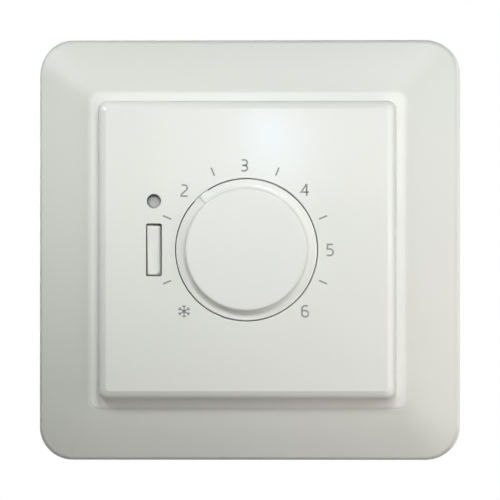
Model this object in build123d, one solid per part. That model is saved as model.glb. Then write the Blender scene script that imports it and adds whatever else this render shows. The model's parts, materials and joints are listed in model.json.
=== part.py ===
"""Flush wall thermostat with a rotary dial, built piece by piece.

Millimetres. Seen from the front, X runs right and Z runs up, and the front faces -Y.
The wall plane is y = 0 and the dial turns about the Y axis through the origin.
A height is the distance in front of the wall plane; what sits in the wall box has a negative height.
"""

import os
from math import cos, radians, sin

from build123d import *

# Fits and the distance within which two places count as one
running_gap = 0.05
close_gap = 0.1
seat_gap = 0.2
moving_gap = 0.3
clear_gap = 0.4
same_place = 0.01

# Outer frame
frame_side = 82.0
frame_corner = 6.5
frame_edge = 6.35
frame_edge_round = 0.9
frame_wall = 2.0
slope_rise = 2.5
slope_corner = 2.0
slope_swell = 1.2
slope_stations = (0.0, 0.35, 0.7, 1.0)
ledge_margin = 1.85
ledge_corner = 1.6
ledge_step = 0.15
ledge_round = 0.1
ledge_foot = 0.4
insert_side = 55.0
insert_corner = 1.4
collar_wall = 1.8
frame_rib = 1.2
frame_rib_offset = 20.0

# Front cover
cover_overlap = 1.55
cover_corner = 1.6
cover_stand = 3.5
cover_face_corner = 0.8
cover_wall = 1.6
cover_foot_step = 0.35
bevel_width = 1.5
bevel_depth = 1.3
bevel_angles = (0.0, 12.0, 24.0, 36.0)
skirt_wall = 1.5
skirt_end_gap = 0.6
cover_rib = 1.2
cover_rib_depth = 2.4
cover_rib_angles = (45.0, 135.0, 225.0, 315.0)
pan_wall = 1.0
pan_depth = 6.1
pan_floor = 1.4
pan_edge_round = 0.15

# Dial knob
dial_sweep = 270.0
rest_turn = -40.0
flange_recess = 0.05
flange_thickness = 1.4
flange_reach = 1.58
flange_round = 0.2
flange_tab_reach = 0.13
flange_tab_angle = 13.5
crown_rise = 1.55
crown_radius = 12.2
crown_draft = 0.4
crown_round = 0.4
crown_foot_round = 0.8
knob_wall = 1.4
pointer_width = 1.0
pointer_root = 0.6
pointer_rise = 0.9
pointer_end_rise = 0.4
pointer_chamfer = 0.25
hub_wall = 1.8
hub_floor_gap = 0.5
ring_seat_radius = 7.2
ring_seat_wall = 1.0
ring_seat_bead = 0.3
ring_seat_bead_height = 0.45

# Range limit rings and their stop
ring_thickness = 1.05
ring_inset = 1.88
ring_tab_reach = 1.3
ring_notches = 12
ring_notch_radius = 0.6
stop_angle = 7.0
stop_slack_angle = 0.5

# Screws
screw_radius = 1.45
screw_head_radius = 2.6
screw_head = 1.7
screw_slot_width = 0.7
screw_slot_depth = 0.8
screw_boss_wall = 1.15
cover_screw_pot_gap = 0.6
cover_screw_length = 6.0
inner_screw_inset = 7.0
inner_screw_length = 8.0

# Rocker switch
switch_pan_gap = 0.42
slot_width = 3.1
slot_length = 10.3
slot_corner = 0.35
rocker_side_gap = 0.15
rocker_half = 4.75
rocker_flare = 0.4
rocker_recess = 0.4
rocker_dish = 0.25
rocker_edge = 0.2
rocker_shoulder_drop = 2.1
rocker_pivot_drop = 2.5
rocker_belly_drop = 4.1
rocker_stem_half = 1.3
rocker_throw = 12.0
trunnion_radius = 0.6
trunnion_length = 0.95
plunger_radius = 0.7
plunger_reach = 2.1
plunger_hold = 1.0
spring_pocket = 0.4
spring_wall = 0.25
switch_wall = 1.2
switch_end_wall = 1.0
switch_half = 6.6
switch_floor = 1.2
lever_stand = 3.1
lever_thickness = 0.5
lever_width = 2.2
lever_half = 4.6
lever_bead_radius = 0.5
lever_throw = 16.0
contact_offset = 4.2
contact_radius = 0.55
contact_depth = 0.35
fixed_contact_radius = 0.7
rest_stop_half = 0.6
support_half = 0.9
leg_radius = 0.45
leg_length = 1.2

# Light guide and status lamp
lamp_rise = 9.5
lamp_hole_radius = 1.4
guide_recess = 0.8
guide_round = 0.7
guide_flange = 0.7
guide_flange_reach = 0.55
guide_lamp_gap = 0.7
lamp_radius = 1.5
lamp_rim_reach = 0.35
lamp_rim = 1.0
lamp_tall = 4.0

# Inner cover
inner_side_gap = 0.5
inner_corner = 2.4
inner_wall = 1.6
post_radius = 1.6
post_offset = 10.0
post_inset = 3.5

# Base housing
base_side = 50.0
base_round_radius = 29.2
base_depth = 22.0
base_wall = 1.8
base_back_round = 1.0
base_boss_wall = 1.1
base_rib = 1.4
base_rib_reach = 1.6
base_rib_offset = 10.0
mount_margin = 4.0
mount_corner = 4.0
mount_thickness = 2.0
mount_pitch = 60.0
mount_hole_radius = 1.8
mount_slot_length = 5.0
vent_count = 5
vent_pitch = 6.0
vent_width = 1.5
vent_start = 3.0
vent_length = 10.0

# Circuit board
board_depth = 2.4
board_thickness = 1.6

# Potentiometer
pot_side = 14.0
pot_corner = 1.0
pot_base_thickness = 1.0
pot_tall = 5.0
pot_roof = 1.4
pot_bushing_wall = 0.45
pot_hollow_radius = 6.0
shaft_radius = 3.0
shaft_flat = 1.5
shaft_end_gap = 1.2
rotor_radius = 5.5
rotor_stand = 1.2
rotor_thickness = 1.1
track_inner_radius = 3.4
track_outer_radius = 5.0
track_thickness = 0.25
track_gap_angle = 70.0
wiper_margin = 0.2
wiper_thickness = 0.3
wiper_angle = 40.0

# Parts on the back of the board
relay_spot = (0.0, 12.85)
relay_size = (29.0, 12.7)
relay_back_gap = 0.5
relay_round = 0.5
film_spot = (-7.6, -3.2)
film_size = (18.0, 8.5)
film_back_gap = 1.7
film_round = 0.6
can_spots = ((6.0, -3.6), (14.6, -3.6))
can_radius = 4.0
can_tall = 11.5
can_round = 0.6
can_groove_rise = 1.6
can_groove_radius = 0.35
disc_spot = (18.4, 6.4)
disc_radius = 4.6
disc_thickness = 3.8
disc_round = 1.2
disc_stand = 1.2
disc_leg_offset = 2.5
wire_radius = 0.3
resistor_radius = 1.6
resistor_half = 4.5
resistor_round = 0.5
resistor_stand = 0.5
resistor_lead = 1.6
resistor_spots = ((-9.0, 3.6), (4.6, 3.6))

# Parts on the front of the board
chip_spot = (15.0, -3.0)
chip_size = (3.9, 8.7)
chip_tall = 1.5
chip_stand = 0.2
chip_leg_pitch = 1.27
chip_leg_rows = 7
chip_leg_width = 0.4
chip_leg_reach = 1.0
chip_leg_thickness = 0.25
diode_radius = 1.2
diode_half = 2.3
diode_round = 0.4
diode_stand = 0.3
diode_lead = 1.0
diode_column = 12.0
diode_count = 4
diode_pitch = 3.0
diode_first = 7.0

# Terminal block
pole_count = 6
pole_pitch = 5.0
block_end_wall = 0.2
block_tall = 11.8
mouth_width = 3.9
mouth_start = 5.0
mouth_tall = 6.5
mouth_depth = 9.3
pole_screw_rise = 5.3
pole_screw_radius = 1.3
pole_screw_grip = 3.0
pole_head_radius = 1.9
pole_head = 2.0
pole_head_recess = 1.4
pole_slot_width = 0.6
pole_slot_depth = 0.7
cage_wall = 0.6
cage_inset = 2.3
cage_back_gap = 1.0

# Levels in front of the wall, and outlines that several pieces share
cover_side = insert_side + 2 * cover_overlap
ledge_side = cover_side + 2 * ledge_margin
slope_top_side = ledge_side + 2 * ledge_foot
slope_top_height = frame_edge + slope_rise
ledge_height = slope_top_height + ledge_step
hollow_side = frame_side - 2 * frame_wall
mount_side = hollow_side - 2 * mount_margin
cover_face_height = ledge_height + cover_stand
ceiling_height = cover_face_height - cover_wall
pan_floor_height = cover_face_height - pan_depth
pan_under_height = pan_floor_height - pan_floor
inner_top_height = pan_under_height - clear_gap
inner_under_height = inner_top_height - inner_wall
board_front_height = -board_depth
board_back_height = board_front_height - board_thickness
board_half = base_side / 2 - base_wall - seat_gap
base_floor_height = base_wall - base_depth
room_behind_board = board_back_height - base_floor_height
flange_radius = crown_radius + flange_reach
pan_radius = flange_radius + seat_gap
pan_outer_radius = pan_radius + pan_wall
rocker_width = slot_width - 2 * seat_gap
switch_inner_half = rocker_width / 2 + rocker_side_gap
switch_outer_half = switch_inner_half + switch_wall
switch_x = -(pan_outer_radius + switch_pan_gap + switch_outer_half)
inner_screw_offset = base_side / 2 - inner_screw_inset
inner_screw_spots = ((inner_screw_offset, inner_screw_offset), (-inner_screw_offset, -inner_screw_offset))
inner_screw_tip = inner_top_height - inner_screw_length
base_boss_radius = screw_radius + base_boss_wall
lamp_spot = (switch_x, lamp_rise)
guide_radius = lamp_hole_radius - running_gap
lamp_height = board_front_height + lamp_tall
pot_bushing_radius = shaft_radius + running_gap + pot_bushing_wall
screw_boss_radius = screw_radius + screw_boss_wall
cover_screw_spot = (0.0, pot_side / 2 + cover_screw_pot_gap + screw_boss_radius)
block_half = pole_count * pole_pitch / 2 + block_end_wall
block_bottom = seat_gap - base_side / 2
block_top = block_bottom + block_tall
block_back_height = seat_gap - base_depth


def front_plane(height):
    """Plane parallel to the wall at a height: its x runs right, its y up and its normal to the viewer."""
    return Plane(origin=(0, -height, 0), x_dir=(1, 0, 0), z_dir=(0, -1, 0))


def side_plane(x):
    """Upright plane across the wall at x: its x runs up and its y is the height in front of the wall."""
    return Plane(origin=(x, 0, 0), x_dir=(0, 0, 1), z_dir=(1, 0, 0))


def prism(outline, low, high):
    """Outline seen from the front, carried from one height to another."""
    return extrude(front_plane(low) * outline, high - low)


def slice_across(section, x, width):
    """Section in side view, carried equally to both sides of x."""
    return extrude(side_plane(x) * section, width / 2, both=True)


def turned(section):
    """Section of radius and height, turned about the dial axis."""
    radius_plane = Plane(origin=(0, 0, 0), x_dir=(1, 0, 0), z_dir=(0, 0, -1))
    return revolve(radius_plane * section, Axis.Y)


def square(side, corner):
    return RectangleRounded(side, side, corner)


def disc(radius, spot=(0.0, 0.0)):
    return Pos(*spot) * Circle(radius)


def patch(left, right, bottom, top):
    """Upright rectangle between four edges."""
    return Pos((left + right) / 2, (bottom + top) / 2) * Rectangle(right - left, top - bottom)


def block_at(spot, size):
    return Pos(*spot) * Rectangle(*size)


def sector(inner, outer, angle):
    """Piece of a ring, centred on straight up."""
    ring = Circle(outer) - Circle(inner)
    reach = 2 * outer
    half = radians(angle / 2)
    side = reach * sin(half)
    rise = reach * cos(half)
    return ring & Polygon((0, 0), (side, rise), (-side, rise), align=None)


def clockwise(angle):
    """Turn of a front view outline."""
    return Rot(0, 0, -angle)


def wall_outline(inset):
    """Outline of the part in the wall box: a square cut by the round of the box."""
    side = base_side - 2 * inset
    return Rectangle(side, side) & Circle(base_round_radius - inset)


def edges_at(solid, height, reach):
    """Edges lying flat at a height, wholly outside a distance from the dial axis."""
    found = solid.edges().filter_by(lambda e: abs(e.bounding_box().size.Y) < same_place)
    found = found.filter_by(lambda e: abs(e.center().Y + height) < same_place)
    return found.filter_by(lambda e: max(abs(e.center().X), abs(e.center().Z)) > reach)


def rim_edges(solid, radius, height):
    """Circular edges of a radius at a height."""
    found = solid.edges().filter_by(GeomType.CIRCLE)
    found = found.filter_by(lambda e: abs(e.radius - radius) < same_place)
    return found.filter_by(lambda e: abs(e.center().Y + height) < same_place)


def d_outline(gap):
    """Shaft section with one flat, opened up by a gap."""
    size = 2 * shaft_radius
    return Circle(shaft_radius + gap) - Pos(0, shaft_flat + gap + size / 2) * Rectangle(2 * size, size)


def slotted_screw(spot, seat, length, radius, head_radius, head, slot_width, slot_depth):
    """Screw with its head in front of the seat height and its shank behind it."""
    body = prism(disc(radius, spot), seat - length, seat)
    body += prism(disc(head_radius, spot), seat, seat + head)
    slot = block_at(spot, (4 * head_radius, slot_width))
    return body - prism(slot, seat + head - slot_depth, seat + head)


# Outer frame: a convex slope lofted from a wide corner to a tight one, with a flat ledge round the insert
def slope_sections(side_low, side_high, corner_low, corner_high, low, high):
    found = []
    for station in slope_stations:
        side = side_low + station * (side_high - side_low)
        corner = corner_low + station * (corner_high - corner_low)
        rise = 1 - (1 - station) ** slope_swell
        found.append(front_plane(low + rise * (high - low)) * square(side, corner))
    return found


frame_skin = prism(square(frame_side, frame_corner), 0, frame_edge)
frame_skin += loft(
    slope_sections(frame_side, slope_top_side, frame_corner, slope_corner, frame_edge, slope_top_height)
)
frame_skin = fillet(edges_at(frame_skin, frame_edge, slope_top_side / 2), frame_edge_round)
ledge = prism(square(ledge_side, ledge_corner), frame_edge, ledge_height)
ledge = fillet(edges_at(ledge, ledge_height, insert_side / 2), ledge_round)
frame_skin += ledge

hollow_corner = frame_corner - frame_wall
hollow_edge = frame_edge - frame_wall
hollow_top = slope_top_height - frame_wall
collar_side = insert_side + 2 * collar_wall
collar_corner = insert_corner + collar_wall
frame_hollow = prism(square(hollow_side, hollow_corner), 0, hollow_edge)
frame_hollow += loft(
    slope_sections(hollow_side, slope_top_side, hollow_corner, slope_corner, hollow_edge, hollow_top)
)
frame_channel = frame_hollow - prism(square(collar_side, collar_corner), mount_thickness, ledge_height)
outer_frame = frame_skin - frame_channel
outer_frame -= prism(square(insert_side, insert_corner), 0, ledge_height)
rib_span = 2 * frame_side
frame_ribs = Rectangle(rib_span, frame_rib) + Rectangle(frame_rib, rib_span)
frame_ribs = Pos(frame_rib_offset, frame_rib_offset) * frame_ribs
frame_ribs += Rot(0, 0, 180) * frame_ribs
rib_solid = prism(frame_ribs, mount_thickness + moving_gap, ledge_height)
outer_frame += (rib_solid & frame_channel) - prism(square(collar_side, collar_corner), 0, ledge_height)

# Front cover: a pad with a curved edge, a skirt through the insert and a round pan for the dial
skirt_side = insert_side - 2 * seat_gap
skirt_corner = insert_corner - seat_gap
cover_inside = skirt_side - 2 * skirt_wall
bevel_foot_height = cover_face_height - bevel_depth
skirt_end_height = mount_thickness + skirt_end_gap


def bevel_sections():
    last = radians(bevel_angles[-1])
    found = []
    for angle in bevel_angles:
        share = (1 - cos(radians(angle))) / (1 - cos(last))
        rise = sin(radians(angle)) / sin(last)
        side = cover_side - 2 * share * bevel_width
        corner = cover_corner + share * (cover_face_corner - cover_corner)
        found.append(front_plane(bevel_foot_height + rise * bevel_depth) * square(side, corner))
    return found


foot_side = cover_side - 2 * cover_foot_step
foot_top = ledge_height + cover_foot_step
front_cover = prism(square(foot_side, cover_corner), ledge_height, foot_top)
front_cover += prism(square(cover_side, cover_corner), foot_top, bevel_foot_height)
front_cover += loft(bevel_sections())
front_cover += prism(square(skirt_side, skirt_corner), skirt_end_height, ledge_height)
cover_room = prism(square(cover_inside, skirt_corner), skirt_end_height, ceiling_height)
front_cover -= cover_room
cover_beams = Sketch()
for angle in cover_rib_angles:
    cover_beams += clockwise(angle) * (Pos(0, cover_side / 2) * Rectangle(cover_rib, cover_side))
front_cover += prism(cover_beams, ceiling_height - cover_rib_depth, ceiling_height) & cover_room
front_cover += prism(disc(pan_outer_radius), pan_under_height, ceiling_height)
front_cover -= prism(disc(pan_radius), pan_floor_height, cover_face_height)
front_cover = fillet(rim_edges(front_cover, pan_radius, cover_face_height), pan_edge_round)
front_cover -= prism(disc(shaft_radius + clear_gap), pan_under_height, pan_floor_height)
front_cover -= prism(disc(screw_radius + seat_gap, cover_screw_spot), pan_under_height, pan_floor_height)
front_cover -= prism(disc(lamp_hole_radius, lamp_spot), ceiling_height, cover_face_height)
rocker_slot = Pos(switch_x, 0) * RectangleRounded(slot_width, slot_length, slot_corner)
front_cover -= prism(rocker_slot, ceiling_height, cover_face_height)
flange_height = cover_face_height - flange_recess
flange_under_height = flange_height - flange_thickness
ring_radius = flange_radius - ring_inset
stop_inner_radius = ring_radius + clear_gap
stop_top_height = flange_under_height - moving_gap
stop_outline = clockwise(180) * sector(stop_inner_radius, pan_radius + pan_wall / 2, stop_angle)
front_cover += prism(stop_outline, pan_floor_height, stop_top_height)

# Dial knob, drawn with its pointer straight up and then turned to the photographed setting
crown_height = flange_height + crown_rise
crown_under_height = crown_height - knob_wall
knob_hollow_radius = crown_radius - knob_wall
hub_radius = shaft_radius + running_gap + hub_wall
hub_end_height = pan_floor_height + hub_floor_gap
shaft_end_height = crown_under_height - shaft_end_gap
ring_high = flange_under_height
ring_middle = ring_high - ring_thickness
ring_low = ring_middle - ring_thickness
seat_end_height = ring_low - running_gap - ring_seat_bead_height
bead_radius = ring_seat_radius + ring_seat_bead
seat_inner_radius = ring_seat_radius - ring_seat_wall
knob_section = Polygon(
    (0, crown_height),
    (0, hub_end_height),
    (hub_radius, hub_end_height),
    (hub_radius, crown_under_height),
    (seat_inner_radius, crown_under_height),
    (seat_inner_radius, seat_end_height),
    (ring_seat_radius, seat_end_height),
    (bead_radius, seat_end_height + ring_seat_bead_height / 2),
    (ring_seat_radius, seat_end_height + ring_seat_bead_height),
    (ring_seat_radius, crown_under_height),
    (knob_hollow_radius, crown_under_height),
    (knob_hollow_radius, flange_under_height),
    (flange_radius, flange_under_height),
    (flange_radius, flange_height),
    (crown_radius, flange_height),
    (crown_radius - crown_draft, crown_height),
    align=None,
)
knob = turned(knob_section)
knob = fillet(rim_edges(knob, crown_radius - crown_draft, crown_height), crown_round)
knob = fillet(rim_edges(knob, crown_radius, flange_height), crown_foot_round)
knob = fillet(rim_edges(knob, flange_radius, flange_height), flange_round)
tab_radius = flange_radius + flange_tab_reach
pointer_inner_radius = crown_radius - pointer_root
knob += prism(sector(crown_radius, tab_radius, flange_tab_angle), flange_under_height, flange_height)
pointer_section = Polygon(
    (pointer_inner_radius, flange_under_height),
    (tab_radius, flange_under_height),
    (tab_radius, flange_height),
    (flange_radius, flange_height + pointer_end_rise),
    (pointer_inner_radius, flange_height + pointer_rise),
    align=None,
)
pointer = slice_across(pointer_section, 0, pointer_width)
pointer_ridge = pointer.faces().sort_by(Axis.Y)[0].edges().filter_by(Axis.X, reverse=True)
knob += chamfer(pointer_ridge, pointer_chamfer)
bore_end_height = shaft_end_height + seat_gap
knob -= prism(d_outline(running_gap), hub_end_height, bore_end_height)
knob = knob.rotate(Axis.Y, rest_turn)

# Limit rings, pushed onto the seat under the knob, each with a tab that meets the stop in the pan
tab_turn = (360 - dial_sweep) / 2 - stop_angle - stop_slack_angle


def limit_ring(tab_at, low, high):
    outline = Circle(ring_radius) - Circle(ring_seat_radius + running_gap)
    notch = Circle(ring_notch_radius)
    outline -= PolarLocations(ring_radius, ring_notches, 360 / ring_notches / 2) * notch
    tab = sector(ring_radius - ring_notch_radius, ring_radius + ring_tab_reach, stop_angle)
    outline += clockwise(tab_at) * tab
    return prism(outline, low, high).rotate(Axis.Y, rest_turn)


max_limit_ring = limit_ring(tab_turn, ring_middle, ring_high)
min_limit_ring = limit_ring(-tab_turn, ring_low, ring_middle)

# Cover screw, hidden under the knob
cover_screw = slotted_screw(
    cover_screw_spot,
    pan_floor_height,
    cover_screw_length,
    screw_radius,
    screw_head_radius,
    screw_head,
    screw_slot_width,
    screw_slot_depth,
)

# Rocker button, its sprung plunger and the see-saw contact lever, drawn level and then tilted to rest
rocker_face_height = cover_face_height - rocker_recess
rocker_shoulder_height = rocker_face_height - rocker_shoulder_drop
rocker_shoulder_half = rocker_half + rocker_flare
rocker_pivot_height = rocker_face_height - rocker_pivot_drop
rocker_belly_height = rocker_face_height - rocker_belly_drop
switch_floor_height = board_front_height + switch_floor
lever_pivot_height = switch_floor_height + lever_stand
plunger_tip_height = lever_pivot_height + lever_thickness + close_gap
rocker_stem_end = plunger_tip_height + plunger_reach
plunger_top_height = rocker_stem_end + plunger_hold
spring_top_height = rocker_belly_height + spring_pocket
rocker_axis = Axis((switch_x, -rocker_pivot_height, 0), (1, 0, 0))
rocker_rest = rocker_throw / 2
rocker_top = ThreePointArc(
    (-rocker_half, rocker_face_height),
    (0, rocker_face_height - rocker_dish),
    (rocker_half, rocker_face_height),
)
rocker_under = Polyline(
    (rocker_half, rocker_face_height),
    (rocker_shoulder_half, rocker_shoulder_height),
    (rocker_stem_half, rocker_belly_height),
    (rocker_stem_half, rocker_stem_end),
    (-rocker_stem_half, rocker_stem_end),
    (-rocker_stem_half, rocker_belly_height),
    (-rocker_shoulder_half, rocker_shoulder_height),
    (-rocker_half, rocker_face_height),
)
rocker_button = slice_across(make_face(rocker_top + rocker_under), switch_x, rocker_width)
rocker_face = rocker_button.faces().sort_by(Axis.Y)[0]
rocker_button = fillet(rocker_face.edges(), rocker_edge)
trunnion = Pos(0, rocker_pivot_height) * Circle(trunnion_radius)
rocker_button += slice_across(trunnion, switch_x, rocker_width + 2 * trunnion_length)
plunger_bore = disc(plunger_radius + running_gap, (switch_x, 0))
rocker_button -= prism(plunger_bore, rocker_stem_end, spring_top_height)
rocker_button = rocker_button.rotate(rocker_axis, rocker_rest)

plunger_section = make_face(
    ThreePointArc(
        (0, plunger_tip_height),
        (plunger_radius * sin(radians(45)), plunger_tip_height + plunger_radius * (1 - cos(radians(45)))),
        (plunger_radius, plunger_tip_height + plunger_radius),
    )
    + Polyline(
        (plunger_radius, plunger_tip_height + plunger_radius),
        (plunger_radius, plunger_top_height),
        (0, plunger_top_height),
        (0, plunger_tip_height),
    )
)
plunger = (Pos(switch_x, 0, 0) * turned(plunger_section)).rotate(rocker_axis, rocker_rest)
spring_outline = disc(plunger_radius, (switch_x, 0)) - disc(plunger_radius - spring_wall, (switch_x, 0))
plunger_spring = prism(spring_outline, plunger_top_height, spring_top_height)
plunger_spring = plunger_spring.rotate(rocker_axis, rocker_rest)

lever_axis = Axis((switch_x, -lever_pivot_height, 0), (1, 0, 0))
lever_rest = -lever_throw / 2
lever_dip = sin(radians(lever_throw / 2))
contact_drop = contact_depth * cos(radians(lever_throw / 2))
lever_plate = patch(-lever_half, lever_half, lever_pivot_height, lever_pivot_height + lever_thickness)
lever_plate += Pos(0, lever_pivot_height) * Circle(lever_bead_radius)
contact_lever = slice_across(lever_plate, switch_x, lever_width)
contact_lever += prism(
    disc(contact_radius, (switch_x, -contact_offset)), lever_pivot_height - contact_depth, lever_pivot_height
)
contact_lever = contact_lever.rotate(lever_axis, lever_rest)

switch_well_half = switch_half - switch_end_wall
switch_top_height = ceiling_height - close_gap


def leg(spot, top):
    return prism(disc(leg_radius, spot), board_back_height - leg_length, top)


support_height = lever_pivot_height - moving_gap
lever_support_section = patch(-support_half, support_half, switch_floor_height, support_height)
lever_support_section -= Pos(0, lever_pivot_height) * Circle(lever_bead_radius + running_gap)
lever_support = slice_across(lever_support_section, switch_x, 2 * support_half)
lever_support += leg((switch_x, 0), switch_floor_height)
fixed_contact_spot = (switch_x, -contact_offset)
fixed_contact_height = lever_pivot_height - (contact_offset + contact_radius) * lever_dip
fixed_contact_height -= contact_drop + running_gap
fixed_contact_outline = disc(fixed_contact_radius, fixed_contact_spot)
fixed_contact = prism(fixed_contact_outline, switch_floor_height, fixed_contact_height)
fixed_contact += leg(fixed_contact_spot, switch_floor_height)

switch_outline = patch(switch_x - switch_outer_half, switch_x + switch_outer_half, -switch_half, switch_half)
switch_well = patch(
    switch_x - switch_inner_half, switch_x + switch_inner_half, -switch_well_half, switch_well_half
)
switch_housing = prism(switch_outline, board_front_height, switch_top_height)
switch_housing -= prism(switch_well, switch_floor_height, switch_top_height)
bearing = Pos(0, rocker_pivot_height) * Circle(trunnion_radius + running_gap)
switch_housing -= slice_across(bearing, switch_x, 2 * switch_outer_half)
rest_stop_height = lever_pivot_height - lever_half * lever_dip - running_gap
rest_stop = patch(
    switch_x - switch_inner_half,
    switch_x + switch_inner_half,
    contact_offset - rest_stop_half,
    contact_offset + rest_stop_half,
)
switch_housing += prism(rest_stop, switch_floor_height, rest_stop_height)
leg_holes = disc(leg_radius + running_gap, (switch_x, 0))
leg_holes += disc(leg_radius + running_gap, fixed_contact_spot)
switch_housing -= prism(leg_holes, board_front_height, switch_floor_height)

# Light guide in the cover and the status lamp on the board behind it
guide_top_height = cover_face_height - guide_recess
guide_end_height = lamp_height + guide_lamp_gap
guide_section = patch(0, guide_radius, guide_end_height, guide_top_height)
guide_section += patch(0, guide_radius + guide_flange_reach, ceiling_height - guide_flange, ceiling_height)
guide_shape = turned(guide_section)
guide_shape = fillet(rim_edges(guide_shape, guide_radius, guide_top_height), guide_round)
light_guide = Pos(lamp_spot[0], 0, lamp_spot[1]) * guide_shape
lamp_rim_radius = lamp_radius + lamp_rim_reach
lamp_section = make_face(
    Polyline(
        (0, lamp_height),
        (0, board_front_height),
        (lamp_rim_radius, board_front_height),
        (lamp_rim_radius, board_front_height + lamp_rim),
        (lamp_radius, board_front_height + lamp_rim),
        (lamp_radius, lamp_height - lamp_radius),
    )
    + ThreePointArc(
        (lamp_radius, lamp_height - lamp_radius),
        (lamp_radius * sin(radians(45)), lamp_height - lamp_radius * (1 - cos(radians(45)))),
        (0, lamp_height),
    )
)
status_lamp = Pos(lamp_spot[0], 0, lamp_spot[1]) * turned(lamp_section)

# Inner cover: closes the live parts off behind the front cover
inner_side = cover_inside - 2 * inner_side_gap
inner_cover = prism(square(inner_side, inner_corner), mount_thickness, inner_top_height)
inner_room = square(inner_side - 2 * inner_wall, inner_corner - inner_wall)
inner_cover -= prism(inner_room, mount_thickness, inner_under_height)
post_row = board_half - post_inset
for spot in GridLocations(2 * post_offset, 2 * post_row, 2, 2):
    inner_cover += prism(spot * Circle(post_radius), board_front_height, inner_under_height)
cover_screw_tip = pan_floor_height - cover_screw_length
boss_end = cover_screw_tip - screw_radius
inner_cover += prism(disc(screw_boss_radius, cover_screw_spot), boss_end, pan_under_height)
inner_openings = disc(pot_bushing_radius + clear_gap)
inner_openings += disc(guide_radius + clear_gap, lamp_spot)
inner_openings += patch(
    switch_x - switch_outer_half - seat_gap,
    switch_x + switch_outer_half + seat_gap,
    -switch_half - seat_gap,
    switch_half + seat_gap,
)
for spot in inner_screw_spots:
    inner_openings += disc(screw_radius + seat_gap, spot)
inner_cover -= prism(inner_openings, inner_under_height, inner_top_height)
inner_cover -= prism(disc(screw_radius + running_gap, cover_screw_spot), cover_screw_tip, pan_under_height)
inner_cover_screws = Part()
for spot in inner_screw_spots:
    inner_cover_screws += slotted_screw(
        spot,
        inner_top_height,
        inner_screw_length,
        screw_radius,
        screw_head_radius,
        screw_head,
        screw_slot_width,
        screw_slot_depth,
    )

# Base housing: mounting flange on the wall and a tub in the wall box
base_housing = prism(wall_outline(0), -base_depth, 0)
base_housing = fillet(edges_at(base_housing, -base_depth, 0), base_back_round)
base_housing += prism(square(mount_side, mount_corner), 0, mount_thickness)
base_room = prism(wall_outline(base_wall), base_floor_height, mount_thickness)
base_housing -= base_room
rib_reach = base_side / 2 - base_wall - base_rib_reach
rib_far = base_side / 2
base_ribs = Sketch()
for offset in (-base_rib_offset, base_rib_offset):
    base_ribs += patch(-rib_far, -rib_reach, offset - base_rib / 2, offset + base_rib / 2)
    base_ribs += patch(rib_reach, rib_far, offset - base_rib / 2, offset + base_rib / 2)
    base_ribs += patch(offset - base_rib / 2, offset + base_rib / 2, rib_reach, rib_far)
base_housing += prism(base_ribs, base_floor_height, board_back_height) & base_room
for spot in inner_screw_spots:
    base_housing += prism(disc(base_boss_radius, spot), base_floor_height, inner_under_height)
    base_core = disc(screw_radius + running_gap, spot)
    base_housing -= prism(base_core, inner_screw_tip - screw_radius, inner_under_height)
bay_half = block_half + seat_gap
bay = patch(-bay_half, bay_half, -base_side, block_top + seat_gap)
base_housing -= prism(bay, -base_depth, board_back_height)
mount_slot = SlotCenterToCenter(mount_slot_length - 2 * mount_hole_radius, 2 * mount_hole_radius)
for turn in (0, 90, 180, 270):
    slot_outline = clockwise(turn) * (Pos(mount_pitch / 2, 0) * mount_slot)
    base_housing -= prism(slot_outline, 0, mount_thickness)
vents = Sketch() + GridLocations(vent_pitch, 0, vent_count, 1) * Rectangle(vent_width, 2 * base_wall)
vent_front = board_back_height - vent_start
base_housing -= prism(Pos(0, base_side / 2) * vents, vent_front - vent_length, vent_front)

# Circuit board
board_outline = wall_outline(base_wall + seat_gap)
for spot in inner_screw_spots:
    board_outline -= disc(base_boss_radius + seat_gap, spot)
board_outline -= leg_holes
circuit_board = prism(board_outline, board_back_height, board_front_height)

# Potentiometer: base with its track, housing with a bushing, and the rotor with its wiper
pot_base_top = board_front_height + pot_base_thickness
pot_top_height = board_front_height + pot_tall
pot_bushing_end = pan_under_height - close_gap
rotor_low = pot_base_top + rotor_stand
rotor_high = rotor_low + rotor_thickness
shaft_flat_start = hub_end_height - moving_gap
potentiometer_base = prism(square(pot_side, pot_corner), board_front_height, pot_base_top)
track = sector(track_inner_radius, track_outer_radius, track_gap_angle)
track = Circle(track_outer_radius) - Circle(track_inner_radius) - clockwise(180) * track
potentiometer_base += prism(track, pot_base_top, pot_base_top + track_thickness)
potentiometer_housing = prism(square(pot_side, pot_corner), pot_base_top, pot_top_height)
potentiometer_housing += prism(disc(pot_bushing_radius), pot_top_height, pot_bushing_end)
potentiometer_housing -= prism(disc(pot_hollow_radius), pot_base_top, pot_top_height - pot_roof)
potentiometer_housing -= prism(disc(shaft_radius + running_gap), pot_base_top, pot_bushing_end)
potentiometer_rotor = prism(disc(rotor_radius), rotor_low, rotor_high)
potentiometer_rotor += prism(disc(shaft_radius), rotor_high, shaft_flat_start)
potentiometer_rotor += prism(d_outline(0), shaft_flat_start, shaft_end_height)
potentiometer_rotor = potentiometer_rotor.rotate(Axis.Y, rest_turn)
wiper_inner_radius = track_inner_radius + wiper_margin
wiper_outer_radius = track_outer_radius - wiper_margin
wiper_foot_height = pot_base_top + track_thickness + close_gap
wiper_ring = Circle(wiper_outer_radius) - Circle(wiper_inner_radius)
potentiometer_wiper = prism(wiper_ring, rotor_low - wiper_thickness, rotor_low)
wiper_foot = sector(wiper_inner_radius, wiper_outer_radius, wiper_angle)
potentiometer_wiper += prism(wiper_foot, wiper_foot_height, rotor_low - wiper_thickness)
potentiometer_wiper = potentiometer_wiper.rotate(Axis.Y, rest_turn)


def boxed(spot, size, tall, edge_round):
    """Block standing on the back of the board with rounded edges away from it."""
    body = prism(block_at(spot, size), board_back_height - tall, board_back_height)
    soft = body.edges() - body.faces().sort_by(Axis.Y)[0].edges()
    return fillet(soft, edge_round)


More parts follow.
